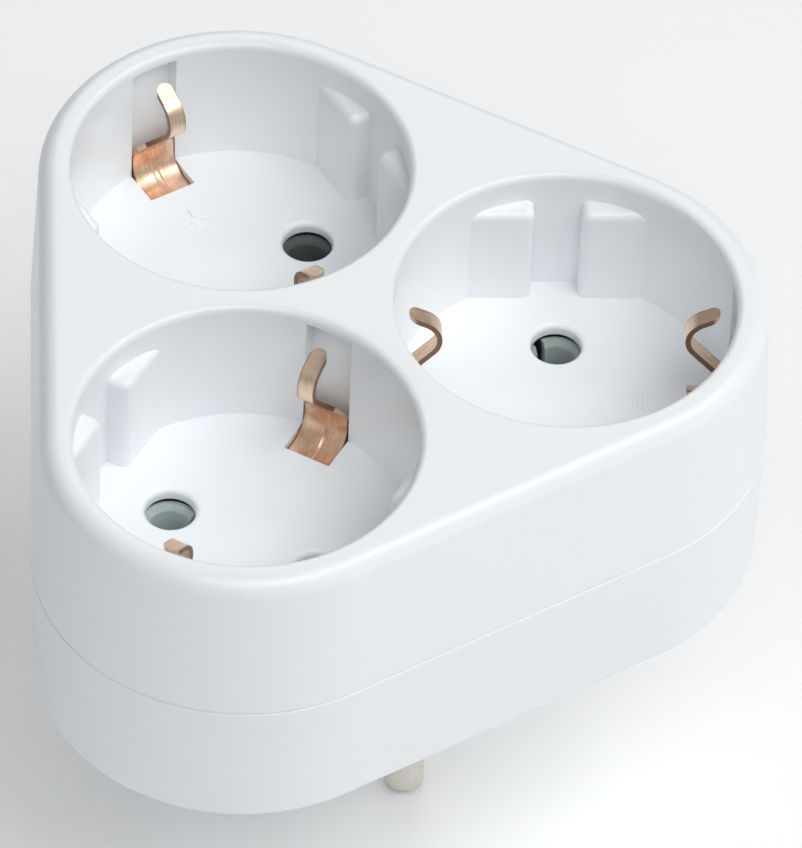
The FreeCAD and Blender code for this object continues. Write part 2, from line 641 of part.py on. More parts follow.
def makeContactBusbar(label, side, level):
    """A flat three-armed busbar that joins one plug pin to one contact of each socket."""
    body = newBody(label)
    turn = f"{side} * {PIN_TURN}"
    hub = newSketch(body, offset=level)
    addCircle(hub, "0", "0", "sizes.barHub")
    addPad(body, hub, "sizes.barThickness")
    arm = newSketch(body, offset=level, turn=turn)
    addBox(arm, "0", PIN_CIRCLE, "-sizes.barWidth / 2", "sizes.barWidth / 2")
    repeatRound(body, addPad(body, arm, "sizes.barThickness"), True)
    pad = newSketch(body, offset=level, turn=turn)
    addCircle(pad, PIN_CIRCLE, "0", "sizes.contactPost")
    repeatRound(body, addPad(body, pad, "sizes.barThickness"), True)
    tail = newSketch(body, offset=level, turn="sizes.plugTurn")
    addCircle(tail, f"-{side} * {HALF_PINS}", "0", "sizes.tailPad")
    addPad(body, tail, "sizes.barThickness")

    seat = newSketch(body, offset=level, turn=turn)
    addCircle(seat, PIN_CIRCLE, "0", "sizes.sleeveBore + sizes.sleeveWall + sizes.fitGap")
    repeatRound(body, cutPocket(body, seat, "sizes.barThickness", "up"), False)
    rivet = newSketch(body, offset=level, turn="sizes.plugTurn")
    addCircle(rivet, f"-{side} * {HALF_PINS}", "0", "sizes.tailRadius + sizes.fitGap")
    cutPocket(body, rivet, "sizes.barThickness", "up")
    return body


def makeContactSleeve(label, socket, side, level):
    """A rolled contact sleeve, flanged on its busbar, spread below it and at the mouth."""
    body = newBody(label)
    bore, spread = "sizes.sleeveBore", "sizes.sleeveSpread"
    outer = f"({bore} + sizes.sleeveWall)"
    flange, flare = "sizes.sleeveFlange", "sizes.sleeveFlare"
    over = "sizes.sleeveFlangeHeight"
    under = "-sizes.barThickness"
    foot = f"{under} - sizes.sleeveFlareHeight"
    length = f"({FLOOR_UNDER} - sizes.sleeveTopGap - {level} - sizes.barThickness)"
    mouth = f"({length} - sizes.sleeveMouth)"
    revolve(
        body,
        [
            (f"{bore} + {spread}", foot),
            (flare, foot),
            (flare, under),
            (outer, under),
            (outer, "0"),
            (flange, "0"),
            (flange, over),
            (outer, over),
            (outer, mouth),
            (f"{outer} + {spread}", length),
            (f"{bore} + {spread}", length),
            (bore, mouth),
            (bore, "0"),
        ],
    )
    slit = newSketch(body, offset=length)
    addBox(slit, "0", f"{outer} + 1", "-sizes.sleeveSlit / 2", "sizes.sleeveSlit / 2")
    cutPocket(body, slit, f"{length} - 2 * {over}")

    turn = 360 * socket / SOCKETS
    about = FreeCAD.Rotation(FreeCAD.Vector(0, 0, 1), turn)
    place = about.multVec(FreeCAD.Vector(value(CENTRE), side * value(HALF_PINS), 0))
    place.z = value(f"{level} + sizes.barThickness")
    facing = FreeCAD.Rotation(FreeCAD.Vector(0, 0, 1), turn + degrees("sizes.sleeveTurn"))
    body.Placement = FreeCAD.Placement(place, facing)
    return body


def sweepAlong(body, corners, section):
    """A section swept along a line of runs and round bends in the XZ plane."""
    path = newSketch(body, "XZ_Plane")
    addPath(path, corners)
    swept = body.newObject("PartDesign::AdditivePipe", "pipe")
    swept.Profile = section
    doc.recompute()
    swept.Spine = (path, [f"Edge{n + 1}" for n in range(len(path.Shape.Edges))])
    swept.Transition = "Transformed"
    return finishFeature(body, swept, True)


def sweepStrip(body, corners, width, thickness):
    """A bent strip of even width."""
    section = newSketch(body, "YZ_Plane", offset=corners[0][0])
    middle, half = corners[0][1], f"{thickness} / 2"
    addBox(section, f"-{width} / 2", f"{width} / 2", f"{middle} - {half}", f"{middle} + {half}")
    return sweepAlong(body, corners, section)


def makeEarthClip(label, socket):
    """One copper strap under the well floor, bent up into a spring finger at each end."""
    body = newBody(label)
    thick = "sizes.clipThickness"
    wall = "sizes.wellRadius"
    middle = f"({thick} / 2 - sizes.wellFloor)"
    upright = f"({wall} + sizes.clipSetBack)"
    bulge = (f"{wall} - sizes.clipBulge", CLIP_BULGE_HEIGHT, "sizes.clipBulgeBend")
    steep = "(sizes.clipBulgeDrop - sizes.clipTipDrop) / (sizes.clipBulge - sizes.clipTip)"
    half = sweepStrip(
        body,
        [
            ("0", middle),
            (upright, middle, "sizes.clipBend"),
            (upright, "sizes.clipKnee", "sizes.clipKneeBend"),
            bulge,
            (f"{wall} - sizes.clipTip + {thick}", f"{CLIP_TIP_HEIGHT} + {thick} * {steep}"),
        ],
        "sizes.clipWidth",
        thick,
    )
    beadStart = f"({wall} - sizes.slotReach)"
    section = newSketch(body, "YZ_Plane", offset=beadStart)
    beadHalf, sink = "sizes.clipBead", "sizes.fitGap"
    surface = f"({middle} + {thick} / 2 - {sink})"
    rise = f"(sizes.clipBeadRise + {sink})"
    crown = f"(({beadHalf}^2 + {rise}^2) / (2 * {rise}))"
    addLoop(section, [(f"-{beadHalf}", surface), (beadHalf, surface, crown, 1)])
    bead = sweepAlong(
        body,
        [
            (beadStart, middle),
            (upright, middle, "sizes.clipBend"),
            (upright, "sizes.clipBeadTop"),
        ],
        section,
    )
    mirror = body.newObject("PartDesign::Mirrored", "mirror")
    mirror.Originals = [half, bead]
    mirror.MirrorPlane = (originPart(body, "YZ_Plane"), [""])
    body.Tip = mirror
    finishFeature(body, mirror, True)

    finger = "(sizes.clipFinger / 2)"
    broad = "(sizes.clipWidth / 2)"
    corner = f"({broad} - {finger})"
    shoulder, tip = "sizes.clipShoulder", f"({wall} - sizes.clipTip)"
    outside, above = f"({broad} + 1)", f"({CLIP_TIP_HEIGHT} + 2)"
    trim = newSketch(body, "YZ_Plane")
    for side, way in (("", -1), ("-", 1)):
        addLoop(
            trim,
            [
                (f"{side}{finger}", above),
                (f"{side}{finger}", shoulder, corner, way * -1),
                (f"{side}{broad}", f"{shoulder} - {corner}"),
                (f"{side}{outside}", f"{shoulder} - {corner}"),
                (f"{side}{outside}", above),
            ],
        )
    cutPocket(body, trim, f"4 * {wall}", "both")
    ends = newSketch(body, offset=above)
    for side, way in (("", -1), ("-", 1)):
        addLoop(
            ends,
            [
                (f"{side}({tip} - {finger})", finger, finger, way),
                (f"{side}{tip}", "0", finger, way),
                (f"{side}({tip} - {finger})", f"-{finger}"),
                (f"{side}({tip} - {finger})", f"-{broad}"),
                (f"{side}({tip} + 1)", f"-{broad}"),
                (f"{side}({tip} + 1)", broad),
                (f"{side}({tip} - {finger})", broad),
            ],
        )
    cutPocket(body, ends, f"{above} - {CLIP_BULGE_HEIGHT}")
    hole = newSketch(body, offset=f"{thick} - sizes.wellFloor")
    addCircle(hole, "0", "0", "sizes.rivetRadius + sizes.fitGap")
    cutPocket(body, hole, thick)

    turn = FreeCAD.Rotation(FreeCAD.Vector(0, 0, 1), 360 * socket / SOCKETS)
    place = turn.multVec(FreeCAD.Vector(value(CENTRE), 0, 0))
    place.z = value(WELL_FLOOR)
    body.Placement = FreeCAD.Placement(place, turn)
    return body


def makeEarthBusbar():
    """The earth busbar: an arm to each socket's strap and a short arm to the plug's side."""
    body = newBody("earth_busbar")
    thick = "sizes.barThickness"
    hub = newSketch(body, offset=EARTH_BAR)
    addCircle(hub, "0", "0", "sizes.earthHub")
    addPad(body, hub, thick)
    arm = newSketch(body, offset=EARTH_BAR)
    addBox(arm, "0", CENTRE, "-sizes.earthArm / 2", "sizes.earthArm / 2")
    repeatRound(body, addPad(body, arm, thick), True)
    pad = newSketch(body, offset=EARTH_BAR)
    addCircle(pad, CENTRE, "0", "sizes.earthPad")
    repeatRound(body, addPad(body, pad, thick), True)
    short = newSketch(body, offset=EARTH_BAR, turn="sizes.plugTurn + 90")
    addBox(short, "0", "sizes.sideContactFace", "-sizes.earthArm / 2", "sizes.earthArm / 2")
    addPad(body, short, thick)

    radius = "sizes.rivetRadius + sizes.fitGap"
    hole = newSketch(body, offset=EARTH_BAR)
    addCircle(hole, CENTRE, "0", radius)
    repeatRound(body, cutPocket(body, hole, thick, "up"), False)
    sides = newSketch(body, offset=EARTH_BAR, turn="sizes.plugTurn + 90")
    addCircle(sides, "sizes.sideRivet", "0", radius)
    addCircle(sides, "-sizes.sideRivet", "0", radius)
    cutPocket(body, sides, thick, "up")
    return body


def makeSideContact(label, way):
    """The plug's earth contact: a strip up the plug's side, bent in under the busbar."""
    body = newBody(label)
    thick = "sizes.barThickness"
    upright = f"(sizes.sideContactFace - {thick} / 2)"
    tab = f"({EARTH_BAR} - {thick} / 2)"
    sweepStrip(
        body,
        [
            ("sizes.sideContactTab", tab),
            (upright, tab, "sizes.sideContactBend"),
            (upright, "sizes.bossLip + sizes.fitGap"),
        ],
        "sizes.sideContactWidth",
        thick,
    )
    hole = newSketch(body, offset=EARTH_BAR)
    addCircle(hole, "sizes.sideRivet", "0", "sizes.rivetRadius + sizes.fitGap")
    cutPocket(body, hole, thick)
    turn = degrees("sizes.plugTurn") + 90 * way
    body.Placement.Rotation = FreeCAD.Rotation(FreeCAD.Vector(0, 0, 1), turn)
    return body


def makeRivet(label, reach, turn, under, top):
    """A round-headed rivet from below, spread flush at its upper end."""
    body = newBody(label)
    shank, head, height = "sizes.rivetRadius", "sizes.rivetHead", "sizes.rivetHeadHeight"
    bulge = f"({head}^2 + {height}^2) / (2 * {height})"
    revolve(
        body,
        [
            ("0", f"{under} - {height}", bulge, 1),
            (head, under),
            (shank, under),
            (shank, top),
            ("0", top),
        ],
    )
    about = FreeCAD.Rotation(FreeCAD.Vector(0, 0, 1), turn)
    body.Placement.Base = about.multVec(FreeCAD.Vector(value(reach), 0, 0))
    return body


def makeScrew(label, turn):
    """A pan-head housing screw, driven from the base."""
    body = newBody(label)
    shank, head, height = "sizes.screwRadius", "sizes.screwHead", "sizes.screwHeadHeight"
    under = f"({SCREW_SEAT} - {height})"
    end = f"({PILLAR_JOINT} + sizes.screwBite)"
    revolve(
        body,
        [
            ("0", under),
            (f"{head} - {height} / 2", under, f"{height} / 2", 1),
            (head, f"{under} + {height} / 2"),
            (head, SCREW_SEAT),
            (shank, SCREW_SEAT),
            (shank, f"{end} - sizes.screwTip"),
            (f"{shank} / 2", end),
            ("0", end),
        ],
    )
    drive = newSketch(body, offset=under)
    long, short = "sizes.screwHead * 0.55", "sizes.screwDrive / 2"
    addLoop(
        drive,
        [
            (short, short),
            (short, long),
            (f"-{short}", long),
            (f"-{short}", short),
            (f"-{long}", short),
            (f"-{long}", f"-{short}"),
            (f"-{short}", f"-{short}"),
            (f"-{short}", f"-{long}"),
            (short, f"-{long}"),
            (short, f"-{short}"),
            (long, f"-{short}"),
            (long, short),
        ],
    )
    cutPocket(body, drive, "sizes.screwDriveDepth", "up")
    about = FreeCAD.Rotation(FreeCAD.Vector(0, 0, 1), turn)
    body.Placement.Base = about.multVec(FreeCAD.Vector(-value(SCREW_CIRCLE), 0, 0))
    return body


def makeAll():
    pieces = [makeFrontHousing(), makeRearHousing()]
    pieces.append(makePlugPin("plug_pin_neutral", 1, NEUTRAL))
    pieces.append(makePlugPin("plug_pin_live", -1, LIVE))
    pieces.append(makeContactBusbar("neutral_busbar", -1, NEUTRAL))
    pieces.append(makeContactBusbar("live_busbar", 1, LIVE))
    pieces.append(makeEarthBusbar())
    for socket in range(SOCKETS):
        number = socket + 1
        turn = 360 * socket / SOCKETS
        pieces.append(makeContactSleeve(f"neutral_contact_{number}", socket, -1, NEUTRAL))
        pieces.append(makeContactSleeve(f"live_contact_{number}", socket, 1, LIVE))
        pieces.append(makeEarthClip(f"earth_clip_{number}", socket))
        top = f"({FLOOR_UNDER} + sizes.clipThickness)"
        pieces.append(makeRivet(f"clip_rivet_{number}", CENTRE, turn, EARTH_BAR, top))
        pieces.append(makeScrew(f"housing_screw_{number}", turn))
    for number, way in ((1, 1), (2, -1)):
        pieces.append(makeSideContact(f"plug_earth_contact_{number}", way))
        turn = degrees("sizes.plugTurn") + 90 * way
        under = f"({EARTH_BAR} - sizes.barThickness)"
        label = f"plug_earth_rivet_{number}"
        pieces.append(makeRivet(label, "sizes.sideRivet", turn, under, FLOOR_UNDER))
    return pieces


pieces = makeAll()
doc.recompute()
for thing in doc.Objects:
    if "Invalid" in thing.State or "Error" in thing.State:
        raise RuntimeError(f"{thing.Label} failed: {thing.State}")
for piece in pieces:
    if piece.Shape.isNull() or not piece.Shape.isValid() or len(piece.Shape.Solids) != 1:
        raise RuntimeError(f"{piece.Label} is not one valid solid")

os.makedirs("parts", exist_ok=True)
for piece in pieces:
    piece.Shape.exportStep(f"parts/{piece.Label}.step")
    print(f"{piece.Label}: {piece.Shape.Volume:.1f} mm3, {len(piece.Shape.Faces)} faces")
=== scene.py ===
import json
import math

import bpy
from mathutils import Matrix, Vector


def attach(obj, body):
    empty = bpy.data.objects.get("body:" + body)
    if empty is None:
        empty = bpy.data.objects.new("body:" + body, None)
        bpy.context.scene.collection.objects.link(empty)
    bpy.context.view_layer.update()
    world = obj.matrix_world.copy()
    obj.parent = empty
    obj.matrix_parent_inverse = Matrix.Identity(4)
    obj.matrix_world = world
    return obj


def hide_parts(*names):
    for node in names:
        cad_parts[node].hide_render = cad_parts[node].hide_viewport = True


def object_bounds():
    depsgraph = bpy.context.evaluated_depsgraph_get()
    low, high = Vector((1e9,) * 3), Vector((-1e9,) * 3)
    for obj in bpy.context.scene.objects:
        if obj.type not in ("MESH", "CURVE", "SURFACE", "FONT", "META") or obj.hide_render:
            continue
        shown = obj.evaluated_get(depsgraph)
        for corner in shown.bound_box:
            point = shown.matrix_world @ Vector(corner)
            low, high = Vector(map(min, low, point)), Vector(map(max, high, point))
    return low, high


# Three-way socket adapter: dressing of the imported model. Lengths are in metres.
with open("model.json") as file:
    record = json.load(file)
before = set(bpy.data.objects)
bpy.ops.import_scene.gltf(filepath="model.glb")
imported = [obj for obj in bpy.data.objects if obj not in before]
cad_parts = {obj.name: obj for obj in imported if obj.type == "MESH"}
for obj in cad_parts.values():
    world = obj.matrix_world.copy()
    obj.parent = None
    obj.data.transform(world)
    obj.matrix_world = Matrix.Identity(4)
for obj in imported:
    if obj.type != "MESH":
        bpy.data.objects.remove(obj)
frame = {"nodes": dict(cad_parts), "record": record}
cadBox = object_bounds()
nodes = frame["nodes"]
print("frame loaded:", len(nodes), "nodes")


class Signal:
    # one socket of a shader, which sums and products can be written with
    def __init__(self, shader, socket):
        self.shader = shader
        self.socket = socket

    def maths(self, operation, *values):
        inputs = dict(enumerate(values))
        return self.shader.make("ShaderNodeMath", {"operation": operation}, inputs)

    def distance(self):
        return self.maths("ABSOLUTE", self)

    def __add__(self, other):
        return self.maths("ADD", self, other)

    __radd__ = __add__

    def __sub__(self, other):
        return self.maths("SUBTRACT", self, other)

    def __rsub__(self, other):
        return self.maths("SUBTRACT", other, self)

    def __mul__(self, other):
        return self.maths("MULTIPLY", self, other)

    __rmul__ = __mul__


class Shader:
    def __init__(self, name):
        self.material = bpy.data.materials.new(name)
        self.material.use_nodes = True
        self.tree = self.material.node_tree
        self.tree.nodes.clear()

    # any node: its type, its settings, then the values or links of its sockets
    def make(self, kind, settings=None, inputs=None, out=0):
        node = self.tree.nodes.new(kind)
        for name, setting in (settings or {}).items():
            setattr(node, name, setting)
        for name, given in (inputs or {}).items():
            if isinstance(given, Signal):
                self.tree.links.new(given.socket, node.inputs[name])
            else:
                node.inputs[name].default_value = given
        return Signal(self, node.outputs[out]) if node.outputs else node

    # object coordinates, stretched by a factor along each axis and turned about Z
    def place(self, stretch=(1, 1, 1), turn=0.0):
        plain = self.make("ShaderNodeTexCoord", out=3)
        return self.make(
            "ShaderNodeMapping",
            {"vector_type": "POINT"},
            {"Vector": plain, "Rotation": (0, 0, turn), "Scale": stretch},
        )

    def noise(self, place, size, detail=2.0, rough=0.5):
        return self.make(
            "ShaderNodeTexNoise",
            {"noise_dimensions": "3D"},
            {"Vector": place, "Scale": 1 / size, "Detail": detail, "Roughness": rough},
        )

    # the part of a signal between two limits, spread over 0 to 1
    def spread(self, signal, low, high):
        return self.make(
            "ShaderNodeMapRange",
            {"clamp": True},
            {0: signal, 1: low, 2: high, 3: 0.0, 4: 1.0},
        )

    def mixColours(self, factor, first, second):
        return self.make(
            "ShaderNodeMix",
            {"data_type": "RGBA"},
            {0: factor, 6: self.colour(first), 7: self.colour(second)},
            out=2,
        )

    def colour(self, given):
        return given if isinstance(given, Signal) else (*given, 1)

    # relief from a height in metres
    def bump(self, height):
        return self.make(
            "ShaderNodeBump", None, {"Height": height, "Distance": 1.0, "Strength": 1.0}
        )

    def finish(self, inputs):
        surface = self.make("ShaderNodeBsdfPrincipled", None, inputs)
        self.make("ShaderNodeOutputMaterial", None, {"Surface": surface})
        return self.material


# white moulded plastic: faint clouds in tone and gloss, a soft ripple and a fine grain
plasticLook = {
    "colour": (0.911, 0.938, 0.958),
    "cloud": (0.899, 0.927, 0.948),
    "cloudSize": 0.030,
    "cloudSpread": (0.25, 0.75),
    "wearSize": 0.010,
    "gloss": 0.26,
    "glossChange": 0.08,
    "peelSize": 0.0030,
    "peelDepth": 0.000004,
    "grainSize": 0.00035,
    "grainDepth": 0.0000012,
    "refraction": 1.5,
}


def glossyPlastic(name, look):
    shader = Shader(name)
    place = shader.place()
    cloud = shader.spread(shader.noise(place, look["cloudSize"], 2), *look["cloudSpread"])
    wear = shader.noise(place, look["wearSize"], 1)
    peel = shader.noise(place, look["peelSize"], 1)
    grain = shader.noise(place, look["grainSize"], 2)
    relief = peel * look["peelDepth"] + grain * look["grainDepth"]
    return shader.finish(
        {
            "Base Color": shader.mixColours(cloud, look["colour"], look["cloud"]),
            "Roughness": look["gloss"] + wear * look["glossChange"],
            "Normal": shader.bump(relief),
            "IOR": look["refraction"],
        }
    )


# noise of the metals: the stains' own, and that of spots and lines
stainNoise = {"detail": 4, "rough": 0.6}
fineNoise = {"detail": 3, "rough": 0.6}

# plated metals and brass: a plain tone with stains, dark spots, and fine lines of relief
nickelLook = {
    "colour": (0.80, 0.77, 0.70),
    "stain": (0.72, 0.69, 0.62),
    "dark": (0.56, 0.53, 0.47),
    "stainSize": 0.0035,
    "stainSpread": (0.38, 0.72),
    "spotSize": 0.0007,
    "spotSpread": (0.62, 0.80),
    "spotTint": 0.6,
    "lineSize": 0.00016,
    "metallic": 1.0,
    "gloss": 0.26,
    "glossChange": 0.16,
    "scratchDepth": 0.000012,
}
brassLook = dict(
    nickelLook,
    colour=(0.86, 0.68, 0.34),
    stain=(0.72, 0.54, 0.24),
    dark=(0.52, 0.38, 0.16),
)
sleeveLook = dict(
    nickelLook,
    colour=(0.50, 0.56, 0.55),
    stain=(0.40, 0.46, 0.45),
    dark=(0.22, 0.26, 0.25),
    metallic=0.3,
    gloss=0.5,
)
zincLook = dict(
    nickelLook,
    colour=(0.78, 0.79, 0.80),
    stain=(0.66, 0.67, 0.70),
    dark=(0.42, 0.43, 0.45),
)


# rolled or turned metal, with draw lines along its length and faint stains
def workedMetal(name, look, stretch=(1, 1, 0.12)):
    shader = Shader(name)
    place = shader.place()
    along = shader.place(stretch)
    stain = shader.noise(place, look["stainSize"], **stainNoise)
    stain = shader.spread(stain, *look["stainSpread"])
    spot = shader.noise(place, look["spotSize"], **fineNoise)
    spot = shader.spread(spot, *look["spotSpread"])
    lines = shader.noise(along, look["lineSize"], **fineNoise)
    tone = shader.mixColours(stain, look["colour"], look["stain"])
    return shader.finish(
        {
            "Base Color": shader.mixColours(spot * look["spotTint"], tone, look["dark"]),
            "Metallic": look["metallic"],
            "Roughness": look["gloss"] + stain * look["glossChange"],
            "Normal": shader.bump(lines * look["scratchDepth"]),
        }
    )


# sprung bronze strip: drawn lines along it; its finger paler, partly rub wear and partly a
# painted highlight; its cut edges carry a painted shade, a dark band standing in for their
# darker reflection
copperLook = {
    "colour": (0.97, 0.69, 0.50),
    "stain": (0.68, 0.40, 0.27),
    "dark": (0.36, 0.20, 0.13),
    # painted shade: dark colour laid along the strip's cut edges, standing in for their darker
    # reflection
    "edge": (0.28, 0.155, 0.10),
    # paler colour of the finger: partly rub wear, partly a painted highlight
    "wornAndSheen": (0.99, 0.77, 0.59),
    "wornSheenFrom": 0.0450,
    "wornSheenTo": 0.0470,
    "wornSheenTint": 0.7,
    "stainSize": 0.0022,
    "stainSpread": (0.38, 0.72),
    "lineSize": 0.00019,
    "scratch": 0.38,
    "scratchSpread": (0.54, 0.66),
    "drawn": (0.06, 1, 0.06),
    "metallic": 0.85,
    "gloss": 0.31,
    "glossChange": 0.16,
    "scratchDepth": 0.000010,
    "paintedEdgeShadeFade": 0.00016,
    "shoulderFade": 0.0001,
}
sideLook = dict(copperLook, lineSize=0.00012, scratch=0.15)


# the strip runs along X after the turn; its edges lie at one distance from the middle up to
# the shoulder and at a smaller one above it
def stripMetal(name, look, turn, broadHalf, fingerHalf, shoulder):
    shader = Shader(name)
    place = shader.place()
    turned = shader.place((1, 1, 1), turn)
    along = shader.make(
        "ShaderNodeVectorMath", {"operation": "MULTIPLY"}, {0: turned, 1: look["drawn"]}
    )
    across = shader.make("ShaderNodeSeparateXYZ", None, {"Vector": turned}, out=1).distance()
    height = shader.make("ShaderNodeSeparateXYZ", None, {"Vector": turned}, out=2)
    stain = shader.noise(place, look["stainSize"], **stainNoise)
    stain = shader.spread(stain, *look["stainSpread"])
    lines = shader.noise(along, look["lineSize"], **fineNoise)
    scratch = shader.spread(lines, *look["scratchSpread"])
    fade = look["shoulderFade"]
    upper = shader.spread(height, shoulder - fade, shoulder + fade)
    edgeAt = upper * (fingerHalf - broadHalf) + broadHalf
    # painted shade: a dark band on the strip's cut edges, fading in over a short width from
    # each side
    edge = shader.spread(across - edgeAt, -look["paintedEdgeShadeFade"], 0.0)
    # the finger above the shoulder is painted paler: partly rub wear, partly a painted
    # highlight
    wornAndSheen = shader.spread(height, look["wornSheenFrom"], look["wornSheenTo"])
    tone = shader.mixColours(stain, look["colour"], look["stain"])
    tone = shader.mixColours(wornAndSheen * look["wornSheenTint"], tone, look["wornAndSheen"])
    tone = shader.mixColours(scratch * look["scratch"], tone, look["dark"])
    return shader.finish(
        {
            "Base Color": shader.mixColours(edge, tone, look["edge"]),
            "Metallic": look["metallic"],
            "Roughness": look["gloss"] + stain * look["glossChange"],
            "Normal": shader.bump(lines * look["scratchDepth"]),
        }
    )


finishes = {
    "white_plastic": glossyPlastic("white plastic", plasticLook),
    "pin_metal": workedMetal("pin nickel", nickelLook),
    "brass_strip": workedMetal("brass strip", brassLook, (1, 1, 1)),
    "screw_steel": workedMetal("screw zinc", zincLook, (1, 1, 1)),
}
slotOf = {part["node"]: part["material_slot"] for part in frame["record"]["subparts"]}
mountPlace = {mount["name"]: Vector(mount["pos_m"]) for mount in frame["record"]["mounts"]}


def socketCentre(socket):
    return (mountPlace[f"socket_{socket}_neutral"] + mountPlace[f"socket_{socket}_live"]) / 2


# strips: half widths of the broad part and of the finger, and the height of the shoulder, which
# lies above the whole strip where there is no finger
clipStrip = {"broadHalf": 0.0028, "fingerHalf": 0.00105, "shoulder": 0.0455}
plugStrip = {"broadHalf": 0.0025, "fingerHalf": 0.0025, "shoulder": 0.2}

# painted light and shade: the contact sleeves, all one metal, are made lighter or darker by
# socket, standing in for how much light reaches into each socket's holes
sleevePaintedLightAndShade = {1: 1.2, 2: 0.42, 3: 1.42}
ownFinish = {}


# scales a look's colours by a factor, which paints light and shade onto copies of one metal
def withPaintedBrightness(look, factor):
    keys = ("colour", "stain", "dark")
    return dict(look, **{key: tuple(part * factor for part in look[key]) for key in keys})


for socket in (1, 2, 3):
    centre = socketCentre(socket)
    turn = -math.atan2(centre.y, centre.x)
    clip = stripMetal(f"clip copper {socket}", copperLook, turn, **clipStrip)
    ownFinish[f"earth_clip_{socket}"] = clip
    # each socket's sleeve finish is the one metal scaled lighter or darker: painted light and
    # shade
    sleeve = workedMetal(f"sleeve metal {socket}", withPaintedBrightness(sleeveLook, sleevePaintedLightAndShade[socket]))
    ownFinish[f"neutral_contact_{socket}"] = ownFinish[f"live_contact_{socket}"] = sleeve
plugLine = mountPlace["plug_pin_neutral"] - mountPlace["plug_pin_live"]
sideTurn = -math.atan2(plugLine.y, plugLine.x) - math.pi / 2
for side in (1, 2):
    contact = stripMetal(f"side copper {side}", sideLook, sideTurn, **plugStrip)
    ownFinish[f"plug_earth_contact_{side}"] = contact
print("finishes made:", len(finishes))

smoothing = {"mergeGap": 0.000002, "creaseAngle": math.radians(28), "areaWeight": 100}


def onlySelect(thing):
    bpy.ops.object.select_all(action="DESELECT")
    thing.select_set(True)
    bpy.context.view_layer.objects.active = thing


# a merged copy of a node with evenly shaded curves, which takes the node's place
def dressNode(name, finish):
    source = nodes[name]
    copy = bpy.data.objects.new(f"{name}_finished", source.data.copy())
    bpy.context.scene.collection.objects.link(copy)
    onlySelect(copy)
    bpy.ops.object.mode_set(mode="EDIT")
    bpy.ops.mesh.select_all(action="SELECT")
    bpy.ops.mesh.customdata_custom_splitnormals_clear()
    bpy.ops.mesh.remove_doubles(threshold=smoothing["mergeGap"])
    bpy.ops.object.mode_set(mode="OBJECT")
    bpy.ops.object.shade_smooth_by_angle(angle=smoothing["creaseAngle"], keep_sharp_edges=False)
    even = copy.modifiers.new("even shading", "WEIGHTED_NORMAL")
    even.keep_sharp = True
    even.weight = smoothing["areaWeight"]
    bpy.ops.object.modifier_apply(modifier=even.name)
    copy.data.materials.clear()
    copy.data.materials.append(finish)
    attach(copy, "root")
    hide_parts(name)


for name in nodes:
    dressNode(name, ownFinish.get(name) or finishes[slotOf[name]])
print("nodes dressed:", len(nodes))


# turns and moves a piece made beside the origin to its socket, with +X pointing outward
def seatAtSocket(piece, socket):
    centre = socketCentre(socket)
    piece.location = (centre.x, centre.y, 0)
    piece.rotation_euler = (0, 0, math.atan2(centre.y, centre.x))
    bpy.ops.object.transform_apply(location=True, rotation=True, scale=True)


def joinPieces(pieces, name):
    bpy.ops.object.select_all(action="DESELECT")
    for piece in pieces:
        piece.select_set(True)
    bpy.context.view_layer.objects.active = pieces[0]
    bpy.ops.object.join()
    pieces[0].name = name
    return pieces[0]


# rounded shoulders that run from the broad part of each clip into its finger. Each is cut from
# a ring that follows the strip's knee, as the lens between two circles seen along the strip;
# inner and outer are the circles' centres, across the strip and above the floor
clipShoulder = {
    "floor": 0.0413,
    "kneeCentre": (0.0166, 0.002706),
    "kneeRadius": 0.0030,
    "thickness": 0.0006,
    "round": 0.00175,
    "seat": 0.00005,
    "inner": (0.00105, 0.00245),
    "outer": (0.0028, 0.0042),
    "reach": 0.0190,
    "ringWidth": 0.0112,
    "holeLength": 0.0224,
    "rodLength": 0.0070,
    "rodSides": 96,
}


def rod(radius, length, place, turn):
    sides = clipShoulder["rodSides"]
    bpy.ops.mesh.primitive_cylinder_add(
        vertices=sides, radius=radius, depth=length, location=place, rotation=turn
    )
    made = bpy.context.object
    bpy.ops.object.transform_apply(location=True, rotation=True, scale=True)
    return made


def cutWith(piece, operation, tool):
    onlySelect(piece)
    cut = piece.modifiers.new("cut", "BOOLEAN")
    cut.operation = operation
    cut.solver = "EXACT"
    cut.object = tool
    bpy.ops.object.modifier_apply(modifier=cut.name)
    bpy.data.objects.remove(tool)


def oneShoulder(end, side):
    shape = clipShoulder
    kneeX, kneeUp = shape["kneeCentre"]
    across, outward = (math.pi / 2, 0, 0), (0, math.pi / 2, 0)
    knee = (end * kneeX, 0, shape["floor"] + kneeUp)
    half = shape["thickness"] / 2
    shoulder = rod(shape["kneeRadius"] + half, shape["ringWidth"], knee, across)
    hole = rod(shape["kneeRadius"] - half, shape["holeLength"], knee, across)
    cutWith(shoulder, "DIFFERENCE", hole)
    for key, grow in (("inner", 0), ("outer", shape["seat"])):
        y, up = shape[key]
        place = (end * shape["reach"], side * y, shape["floor"] + up)
        circle = rod(shape["round"] + grow, shape["rodLength"], place, outward)
        cutWith(shoulder, "INTERSECT", circle)
    return shoulder


def clipShoulders(socket):
    parts = [oneShoulder(end, side) for end in (1, -1) for side in (1, -1)]
    shoulders = joinPieces(parts, f"clip_shoulders_{socket}")
    seatAtSocket(shoulders, socket)
    bpy.ops.object.shade_smooth_by_angle(angle=smoothing["creaseAngle"])
    shoulders.data.materials.clear()
    shoulders.data.materials.append(ownFinish[f"earth_clip_{socket}"])
    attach(shoulders, "root")


for socket in (1, 2, 3):
    clipShoulders(socket)
print("clip shoulders rounded")


